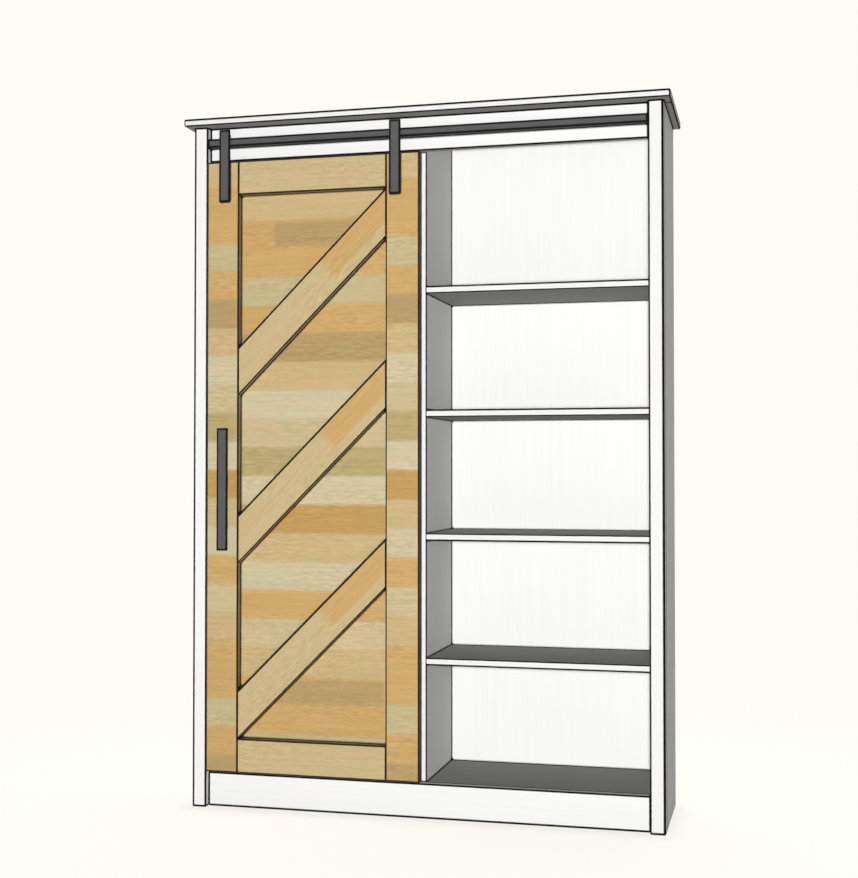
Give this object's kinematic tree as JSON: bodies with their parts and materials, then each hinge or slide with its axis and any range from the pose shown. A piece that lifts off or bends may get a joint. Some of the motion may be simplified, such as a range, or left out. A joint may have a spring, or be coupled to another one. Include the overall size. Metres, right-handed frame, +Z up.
{
  "type": "barn door bookcase",
  "caption": "Tall open-front bookcase with fixed shelves in side-by-side bays and a planked door that rolls along a track to cover either bay.",
  "frame": {"origin": "on the floor, at the middle of the overall width and depth", "axes": "+X to the right seen from the front, +Y from the front to the back, +Z up"},
  "size_m": [1.27, 0.3492, 1.8097],
  "materials": {
    "white_paint": "satin white paint",
    "door_wood": "clear matt lacquer on laminated strips",
    "dowel_wood": "bare",
    "dark_steel": "dark grey powder coat",
    "zinc_steel": "zinc plated",
    "roller_nylon": "black nylon",
    "bush_bronze": "sintered bronze"
  },
  "bodies": {
    "case": {"left_side_panel": "white_paint", "right_side_panel": "white_paint", "centre_divider": "white_paint", "bottom_panel": "white_paint", "back_panel": "white_paint", "left_front_post": "white_paint", "right_front_post": "white_paint", "header_board": "white_paint", "kick_plate": "white_paint", "top_front_board": "white_paint", "top_main_board": "white_paint", "track_rail": "dark_steel", "track_screws": "zinc_steel", "back_panel_screws": "zinc_steel", "left_shelf_1": "white_paint", "right_shelf_1": "white_paint", "left_shelf_2": "white_paint", "right_shelf_2": "white_paint", "left_shelf_3": "white_paint", "right_shelf_3": "white_paint", "left_shelf_4": "white_paint", "right_shelf_4": "white_paint", "top_dowels": "dowel_wood", "face_frame_dowels": "dowel_wood", "post_dowels": "dowel_wood"},
    "door": {"door_panel": "door_wood", "door_left_stile": "door_wood", "door_right_stile": "door_wood", "door_top_rail": "door_wood", "door_bottom_rail": "door_wood", "hanger_washers": "zinc_steel", "hanger_nuts": "zinc_steel", "handle_bar": "dark_steel", "handle_lower_standoff": "dark_steel", "handle_upper_standoff": "dark_steel", "handle_screws": "zinc_steel", "door_lower_brace": "door_wood", "door_middle_brace": "door_wood", "door_upper_brace": "door_wood", "left_hanger_strap": "dark_steel", "left_roller_axle": "zinc_steel", "left_retaining_ring": "zinc_steel", "right_hanger_strap": "dark_steel", "right_roller_axle": "zinc_steel", "right_retaining_ring": "zinc_steel"},
    "roller_left": {"left_roller": "roller_nylon", "left_roller_bush": "bush_bronze"},
    "roller_right": {"right_roller": "roller_nylon", "right_roller_bush": "bush_bronze"}
  },
  "joints": [
    {"name": "door_slide", "type": "slide", "parent": "case", "child": "door", "axis": [1, 0, 0], "range_m": [0, 0.57465]},
    {"name": "left_roller_turn", "type": "hinge", "parent": "door", "child": "roller_left", "pos_m": [-0.52625, -0.14272, 1.76615], "axis": [0, 1, 0], "range_deg": [0, 3466]},
    {"name": "right_roller_turn", "type": "hinge", "parent": "door", "child": "roller_right", "pos_m": [-0.0624, -0.14272, 1.76615], "axis": [0, 1, 0], "range_deg": [0, 3466]}
  ],
  "couplings": [
    {"joint": "left_roller_turn", "follows": "door_slide", "rad_per_m": 105.26},
    {"joint": "right_roller_turn", "follows": "door_slide", "rad_per_m": 105.26}
  ]
}
